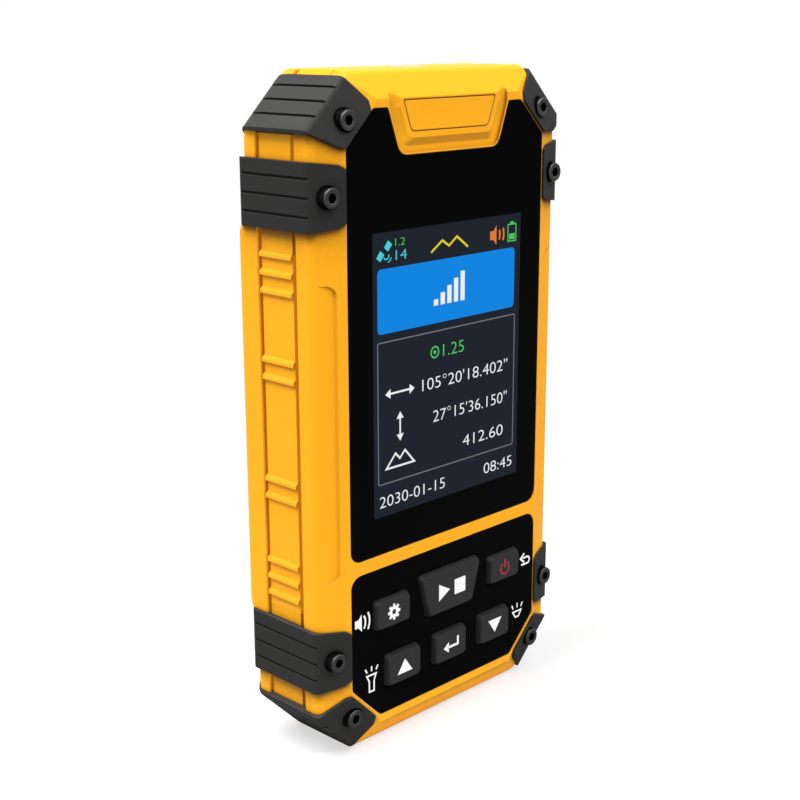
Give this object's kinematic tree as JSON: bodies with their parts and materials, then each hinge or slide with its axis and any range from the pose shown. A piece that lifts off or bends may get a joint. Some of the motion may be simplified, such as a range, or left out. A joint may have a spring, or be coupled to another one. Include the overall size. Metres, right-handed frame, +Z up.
{
  "type": "gps land area meter",
  "caption": "Rugged handheld land area meter with a tall display, a keypad under it, bolted corner and side guards and a battery hump on the back.",
  "frame": {"origin": "middle of the foot that the meter stands on, centred on its width and depth", "axes": "+Z up to the top of the display, -Y out of the display, +X to the right seen from the front"},
  "size_m": [0.0808, 0.03, 0.1529],
  "materials": {
    "casing": "moulded, satin amber yellow",
    "guard": "moulded, matte dark grey",
    "guard_screw": "blackened, satin",
    "seal": "moulded, matte black",
    "lens": "polished, printed black on the inside",
    "display": "polished, dark blue-grey",
    "key_panel": "polished black",
    "key": "moulded, matte dark grey",
    "board": "green solder mask",
    "ribbon": "amber film",
    "steel": "rolled sheet, satin",
    "aerial": "fired ceramic with a silver patch",
    "battery": "blue shrink sleeve",
    "speaker": "moulded black",
    "lamp": "white block with a clear dome",
    "torch_window": "polished clear",
    "cover": "moulded, matte black",
    "insert": "knurled brass"
  },
  "bodies": {
    "casing": {"front_casing": "casing", "mid_frame": "casing", "rear_casing": "casing", "front_seal": "seal", "rear_seal": "seal", "screen_lens": "lens", "lens_tape": "seal", "display_panel": "display", "display_foam": "seal", "display_tray": "steel", "display_ribbon": "ribbon", "keypad_plate": "key_panel", "key_mat": "seal", "key_board": "board", "key_board_screws": "steel", "main_board": "board", "board_screws": "steel", "receiver_shield": "steel", "aerial_patch": "aerial", "battery": "battery", "battery_strap": "steel", "strap_screws": "steel", "speaker": "speaker", "torch_lamp": "lamp", "torch_window": "torch_window", "charge_socket": "steel", "cover_pin": "steel", "guard_top_left": "guard", "guard_top_right": "guard", "guard_upper_left": "guard", "guard_upper_right": "guard", "guard_lower_left": "guard", "guard_lower_right": "guard", "guard_foot_left": "guard", "guard_foot_right": "guard", "guard_screws": "guard_screw", "thread_inserts": "insert"},
    "key_settings": {"key_settings": "key"},
    "key_start_stop": {"key_start_stop": "key"},
    "key_power": {"key_power": "key"},
    "key_up": {"key_up": "key"},
    "key_enter": {"key_enter": "key"},
    "key_down": {"key_down": "key"},
    "port_cover": {"port_cover": "cover"}
  },
  "joints": [
    {"name": "key_settings_press", "type": "slide", "parent": "casing", "child": "key_settings", "axis": [0, 1, 0], "range_m": [0, 0.0006], "stiffness_N_per_m": 3000},
    {"name": "key_start_stop_press", "type": "slide", "parent": "casing", "child": "key_start_stop", "axis": [0, 1, 0], "range_m": [0, 0.0006], "stiffness_N_per_m": 3000},
    {"name": "key_power_press", "type": "slide", "parent": "casing", "child": "key_power", "axis": [0, 1, 0], "range_m": [0, 0.0006], "stiffness_N_per_m": 3000},
    {"name": "key_up_press", "type": "slide", "parent": "casing", "child": "key_up", "axis": [0, 1, 0], "range_m": [0, 0.0006], "stiffness_N_per_m": 3000},
    {"name": "key_enter_press", "type": "slide", "parent": "casing", "child": "key_enter", "axis": [0, 1, 0], "range_m": [0, 0.0006], "stiffness_N_per_m": 3000},
    {"name": "key_down_press", "type": "slide", "parent": "casing", "child": "key_down", "axis": [0, 1, 0], "range_m": [0, 0.0006], "stiffness_N_per_m": 3000},
    {"name": "port_cover_hinge", "type": "hinge", "parent": "casing", "child": "port_cover", "pos_m": [0.0378, 0.00345, 0.07645], "axis": [0, 0, 1], "range_deg": [0, 110]}
  ]
}
